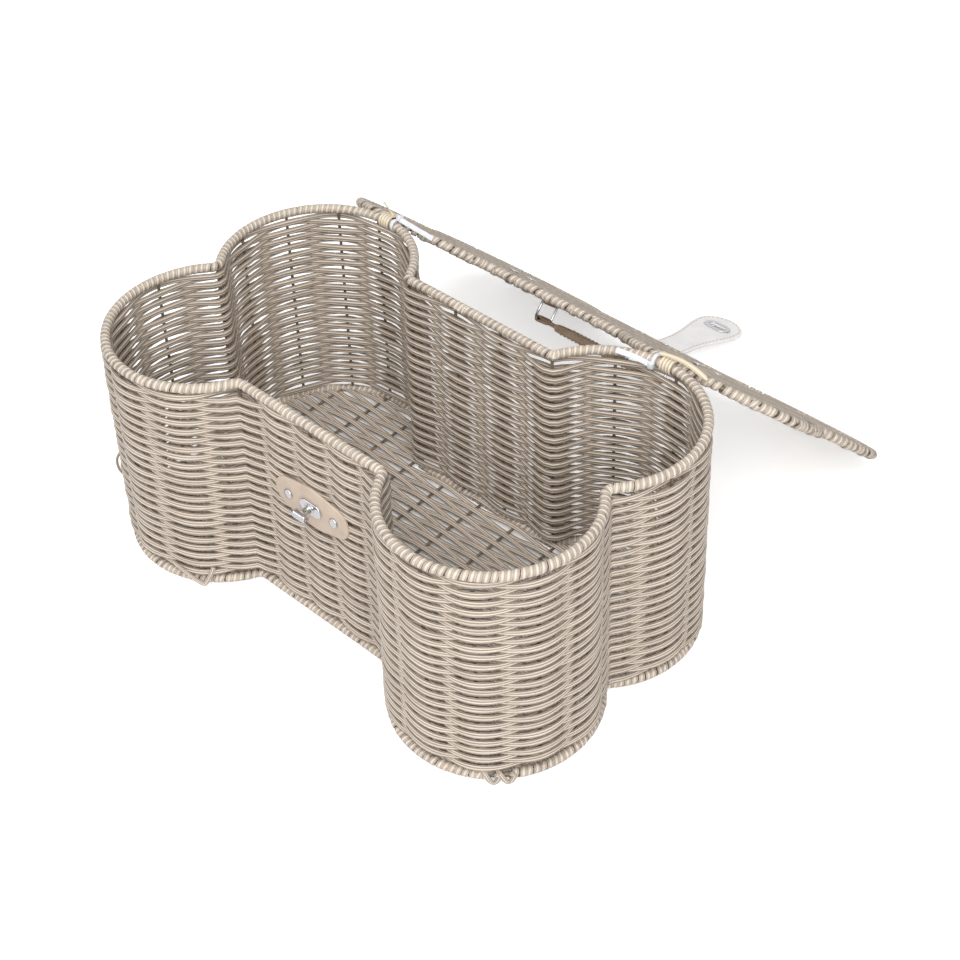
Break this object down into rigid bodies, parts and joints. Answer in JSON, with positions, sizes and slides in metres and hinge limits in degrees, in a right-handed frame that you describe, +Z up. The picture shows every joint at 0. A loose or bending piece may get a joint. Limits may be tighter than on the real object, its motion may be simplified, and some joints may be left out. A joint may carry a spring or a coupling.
{
  "type": "pet toy storage basket",
  "caption": "Bone-shaped wicker storage basket with a hinged woven lid, a leather carrying handle on wire rings, a leather clasp tab and a metal turn lock.",
  "frame": {"origin": "on the floor under the middle of the basket, on the underside of the woven floor", "axes": "+Z up, +X along the bone, +Y towards the hinges and the open lid, the turn lock on the -Y side"},
  "size_m": [0.512, 0.614, 0.2272],
  "materials": {
    "rattan": "ribbed polyethylene rattan strand, greige",
    "steel_wire": "bare drawn steel wire",
    "chrome": "polished chrome plate",
    "leather": "smooth beige imitation leather",
    "grip_leather": "smooth tan imitation leather, folded",
    "tab_leather": "pale backing of imitation leather, stitched near its edge",
    "hinge_strand": "cream flat strand",
    "nylon": "white nylon"
  },
  "bodies": {
    "basket": {"basket_wire_frame": "steel_wire", "woven_wall": "rattan", "woven_floor": "rattan", "rim_binding": "rattan", "base_binding": "rattan", "lock_patch": "leather", "lock_plate": "chrome", "lock_rivet_left": "chrome", "lock_rivet_right": "chrome", "lock_washer_left": "chrome", "lock_washer_right": "chrome"},
    "knob": {"lock_knob": "chrome"},
    "hinge_links": {"hinge_binding_left": "hinge_strand", "hinge_binding_right": "hinge_strand", "cable_tie_left": "nylon", "cable_tie_right": "nylon"},
    "lid": {"lid_wire_frame": "steel_wire", "lid_weave": "rattan", "lid_binding": "rattan", "handle_chape_left": "leather", "handle_chape_right": "leather", "chape_rivet_left_1": "chrome", "chape_rivet_left_2": "chrome", "chape_rivet_right_1": "chrome", "chape_rivet_right_2": "chrome", "chape_washer_left_1": "chrome", "chape_washer_left_2": "chrome", "chape_washer_right_1": "chrome", "chape_washer_right_2": "chrome", "tab_strap": "leather", "tab_rivet_left": "chrome", "tab_rivet_right": "chrome", "tab_washer_left": "chrome", "tab_washer_right": "chrome"},
    "ring_left": {"handle_ring_left": "chrome"},
    "ring_right": {"handle_ring_right": "chrome"},
    "grip": {"handle_grip": "grip_leather"},
    "tab": {"tab_tongue": "tab_leather", "tab_slot_front": "chrome", "tab_slot_back": "chrome"}
  },
  "joints": [
    {"name": "link_swing", "type": "hinge", "parent": "basket", "child": "hinge_links", "pos_m": [0, 0.147, 0.212], "axis": [1, 0, 0], "range_deg": [0, 110.92]},
    {"name": "lid_fold", "type": "hinge", "parent": "hinge_links", "child": "lid", "pos_m": [0, 0.15537, 0.2088], "axis": [1, 0, 0], "range_deg": [0, 110.92]},
    {"name": "tab_fold", "type": "hinge", "parent": "lid", "child": "tab", "pos_m": [0, 0.34559, 0.03095], "axis": [1, 0, 0], "range_deg": [0, 66.1]},
    {"name": "knob_turn", "type": "hinge", "parent": "basket", "child": "knob", "pos_m": [0, -0.1036, 0.131], "axis": [0, -1, 0], "range_deg": [0, 90]},
    {"name": "ring_left_swing", "type": "hinge", "parent": "lid", "child": "ring_left", "pos_m": [-0.068, 0.26449, 0.10132], "axis": [0, -0.7449, 0.6672], "range_deg": [-60, 60]},
    {"name": "ring_right_swing", "type": "hinge", "parent": "lid", "child": "ring_right", "pos_m": [0.068, 0.26449, 0.10132], "axis": [0, -0.7449, 0.6672], "range_deg": [-60, 60]},
    {"name": "grip_swing", "type": "hinge", "parent": "ring_left", "child": "grip", "pos_m": [-0.068, 0.25248, 0.08791], "axis": [0, -0.7449, 0.6672], "range_deg": [-60, 60]}
  ],
  "couplings": [
    {"joint": "lid_fold", "follows": "link_swing", "ratio": 1},
    {"joint": "grip_swing", "follows": "ring_left_swing", "ratio": -1},
    {"joint": "ring_right_swing", "follows": "ring_left_swing", "ratio": 1}
  ]
}
